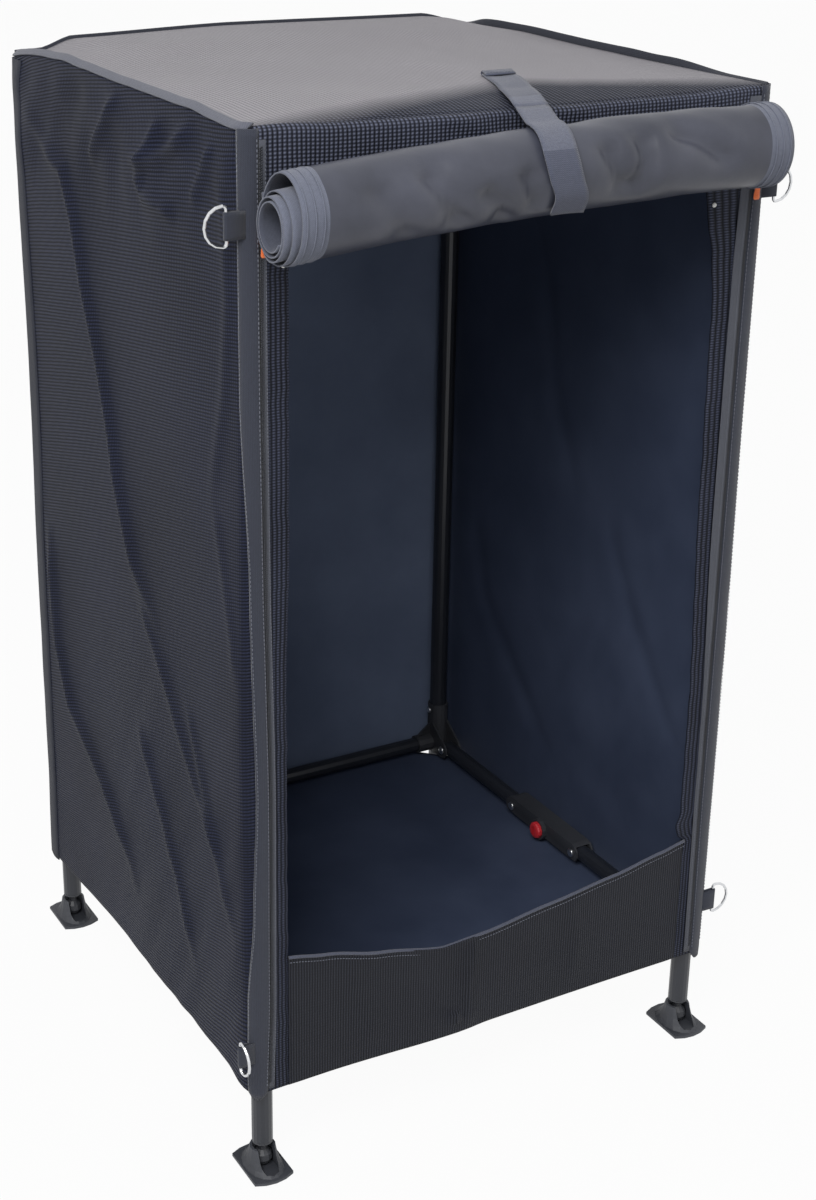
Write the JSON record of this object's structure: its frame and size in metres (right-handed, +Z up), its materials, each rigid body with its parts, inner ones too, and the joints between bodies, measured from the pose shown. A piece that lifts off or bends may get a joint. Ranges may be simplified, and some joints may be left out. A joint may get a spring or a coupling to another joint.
{
  "type": "fabric storage cupboard",
  "caption": "Fabric cupboard on a folding tube frame with tilting foot pads; its zipped door is rolled up above the open front and held by a strap.",
  "frame": {"origin": "on the floor, under the middle of the whole cupboard with its feet, rolled door and guy rings", "axes": "+Z up; -Y the way the open front faces; +X to the right for one who looks into the open front"},
  "size_m": [0.6348, 0.6676, 1.0713],
  "materials": {
    "tube_black": "satin",
    "moulded_black": "matte",
    "button_red": "gloss",
    "ribbed_cloth": "ribbed",
    "coated_cloth": "smooth coated",
    "binding_tape": "woven",
    "zip_nylon": "matte",
    "zip_orange": "satin",
    "ring_steel": "polished"
  },
  "bodies": {
    "rear_frame": {"post_rear_left": "tube_black", "ball_plug_rear_left": "moulded_black", "post_rear_right": "tube_black", "ball_plug_rear_right": "moulded_black", "cross_rail_lower_rear": "tube_black", "corner_bracket_lower_rear_left": "moulded_black", "corner_bracket_lower_rear_right": "moulded_black", "cross_rail_upper_rear": "tube_black", "corner_bracket_upper_rear_left": "moulded_black", "corner_bracket_upper_rear_right": "moulded_black", "side_panel_left": "ribbed_cloth", "side_panel_right": "ribbed_cloth", "back_panel": "ribbed_cloth", "roof_panel": "coated_cloth", "floor_panel": "coated_cloth"},
    "front_frame": {"post_front_left": "tube_black", "ball_plug_front_left": "moulded_black", "post_front_right": "tube_black", "ball_plug_front_right": "moulded_black", "cross_rail_lower_front": "tube_black", "corner_bracket_lower_front_left": "moulded_black", "corner_bracket_lower_front_right": "moulded_black", "cross_rail_upper_front": "tube_black", "corner_bracket_upper_front_left": "moulded_black", "corner_bracket_upper_front_right": "moulded_black", "front_surround": "ribbed_cloth", "front_sill": "ribbed_cloth", "door_roll": "coated_cloth", "roll_strap": "binding_tape", "corner_binding_left": "binding_tape", "corner_binding_right": "binding_tape", "zip_track_left": "zip_nylon", "zip_track_right": "zip_nylon"},
    "lower_rear_arms": {"side_arm_lower_rear_left": "tube_black", "side_arm_lower_rear_right": "tube_black"},
    "lower_front_arms": {"side_arm_lower_front_left": "tube_black", "side_arm_lower_front_right": "tube_black"},
    "lower_knuckles": {"folding_knuckle_lower_left": "moulded_black", "folding_knuckle_lower_right": "moulded_black"},
    "upper_rear_arms": {"side_arm_upper_rear_left": "tube_black", "side_arm_upper_rear_right": "tube_black"},
    "upper_front_arms": {"side_arm_upper_front_left": "tube_black", "side_arm_upper_front_right": "tube_black"},
    "upper_knuckles": {"folding_knuckle_upper_left": "moulded_black", "folding_knuckle_upper_right": "moulded_black"},
    "latch_button_lower_left": {"latch_button_lower_left": "button_red"},
    "latch_button_lower_right": {"latch_button_lower_right": "button_red"},
    "latch_button_upper_left": {"latch_button_upper_left": "button_red"},
    "latch_button_upper_right": {"latch_button_upper_right": "button_red"},
    "foot_pad_rear_left": {"foot_pad_rear_left": "moulded_black"},
    "foot_pad_rear_right": {"foot_pad_rear_right": "moulded_black"},
    "foot_pad_front_left": {"foot_pad_front_left": "moulded_black"},
    "foot_pad_front_right": {"foot_pad_front_right": "moulded_black"},
    "guy_ring_upper_left": {"guy_ring_upper_left": "ring_steel"},
    "guy_ring_upper_right": {"guy_ring_upper_right": "ring_steel"},
    "guy_ring_lower_left": {"guy_ring_lower_left": "ring_steel"},
    "guy_ring_lower_right": {"guy_ring_lower_right": "ring_steel"},
    "zip_slider_left": {"zip_slider_left": "zip_orange"},
    "zip_slider_right": {"zip_slider_right": "zip_orange"}
  },
  "joints": [
    {"name": "lower_rear_fold", "type": "hinge", "parent": "rear_frame", "child": "lower_rear_arms", "pos_m": [0, 0.2688, 0.121], "axis": [-1, 0, 0], "range_deg": [0, 85]},
    {"name": "lower_knuckle_fold", "type": "hinge", "parent": "lower_rear_arms", "child": "lower_knuckles", "pos_m": [0, 0.0973, 0.121], "axis": [1, 0, 0], "range_deg": [0, 85]},
    {"name": "lower_front_fold", "type": "hinge", "parent": "lower_knuckles", "child": "lower_front_arms", "pos_m": [0, -0.0337, 0.121], "axis": [1, 0, 0], "range_deg": [0, 85]},
    {"name": "front_frame_fold", "type": "hinge", "parent": "lower_front_arms", "child": "front_frame", "pos_m": [0, -0.2052, 0.121], "axis": [-1, 0, 0], "range_deg": [0, 85]},
    {"name": "upper_rear_fold", "type": "hinge", "parent": "rear_frame", "child": "upper_rear_arms", "pos_m": [0, 0.2688, 1.049], "axis": [1, 0, 0], "range_deg": [0, 85], "deforming": ["side_panel_left", "side_panel_right", "roof_panel", "floor_panel"]},
    {"name": "upper_knuckle_fold", "type": "hinge", "parent": "upper_rear_arms", "child": "upper_knuckles", "pos_m": [0, 0.0973, 1.049], "axis": [-1, 0, 0], "range_deg": [0, 85]},
    {"name": "upper_front_fold", "type": "hinge", "parent": "upper_knuckles", "child": "upper_front_arms", "pos_m": [0, -0.0337, 1.049], "axis": [-1, 0, 0], "range_deg": [0, 85]},
    {"name": "latch_button_lower_left_press", "type": "slide", "parent": "lower_knuckles", "child": "latch_button_lower_left", "axis": [-1, 0, 0], "range_m": [0, 0.004], "stiffness_N_per_m": 600, "springref_m": -0.001},
    {"name": "latch_button_lower_right_press", "type": "slide", "parent": "lower_knuckles", "child": "latch_button_lower_right", "axis": [1, 0, 0], "range_m": [0, 0.004], "stiffness_N_per_m": 600, "springref_m": -0.001},
    {"name": "latch_button_upper_left_press", "type": "slide", "parent": "upper_knuckles", "child": "latch_button_upper_left", "axis": [-1, 0, 0], "range_m": [0, 0.004], "stiffness_N_per_m": 600, "springref_m": -0.001},
    {"name": "latch_button_upper_right_press", "type": "slide", "parent": "upper_knuckles", "child": "latch_button_upper_right", "axis": [1, 0, 0], "range_m": [0, 0.004], "stiffness_N_per_m": 600, "springref_m": -0.001},
    {"name": "foot_pad_rear_left_tilt", "type": "hinge", "parent": "rear_frame", "child": "foot_pad_rear_left", "pos_m": [-0.267, 0.3008, 0.0135], "axis": [1, 0, 0], "range_deg": [-15, 15]},
    {"name": "foot_pad_rear_right_tilt", "type": "hinge", "parent": "rear_frame", "child": "foot_pad_rear_right", "pos_m": [0.267, 0.3008, 0.0135], "axis": [1, 0, 0], "range_deg": [-15, 15]},
    {"name": "foot_pad_front_left_tilt", "type": "hinge", "parent": "front_frame", "child": "foot_pad_front_left", "pos_m": [-0.267, -0.2372, 0.0135], "axis": [1, 0, 0], "range_deg": [-15, 15]},
    {"name": "foot_pad_front_right_tilt", "type": "hinge", "parent": "front_frame", "child": "foot_pad_front_right", "pos_m": [0.267, -0.2372, 0.0135], "axis": [1, 0, 0], "range_deg": [-15, 15]},
    {"name": "guy_ring_upper_left_swing", "type": "hinge", "parent": "front_frame", "child": "guy_ring_upper_left", "pos_m": [-0.2954, -0.2481, 0.987], "axis": [0, 0, 1], "range_deg": [-80, 80]},
    {"name": "guy_ring_upper_right_swing", "type": "hinge", "parent": "front_frame", "child": "guy_ring_upper_right", "pos_m": [0.2954, -0.2481, 0.97], "axis": [0, 0, 1], "range_deg": [-80, 80]},
    {"name": "guy_ring_lower_left_swing", "type": "hinge", "parent": "front_frame", "child": "guy_ring_lower_left", "pos_m": [-0.2954, -0.2481, 0.151], "axis": [0, 0, 1], "range_deg": [-170, 0]},
    {"name": "guy_ring_lower_right_swing", "type": "hinge", "parent": "front_frame", "child": "guy_ring_lower_right", "pos_m": [0.2954, -0.2481, 0.163], "axis": [0, 0, 1], "range_deg": [-80, 80]},
    {"name": "zip_slider_left_run", "type": "slide", "parent": "front_frame", "child": "zip_slider_left", "axis": [0, 0, -1], "range_m": [0, 0.7]},
    {"name": "zip_slider_right_run", "type": "slide", "parent": "front_frame", "child": "zip_slider_right", "axis": [0, 0, -1], "range_m": [0, 0.7]}
  ],
  "couplings": [
    {"joint": "lower_rear_fold", "follows": "upper_rear_fold", "ratio": 1},
    {"joint": "lower_knuckle_fold", "follows": "upper_rear_fold", "ratio": 1},
    {"joint": "lower_front_fold", "follows": "upper_rear_fold", "ratio": 1},
    {"joint": "front_frame_fold", "follows": "upper_rear_fold", "ratio": 1},
    {"joint": "upper_knuckle_fold", "follows": "upper_rear_fold", "ratio": 1},
    {"joint": "upper_front_fold", "follows": "upper_rear_fold", "ratio": 1}
  ]
}
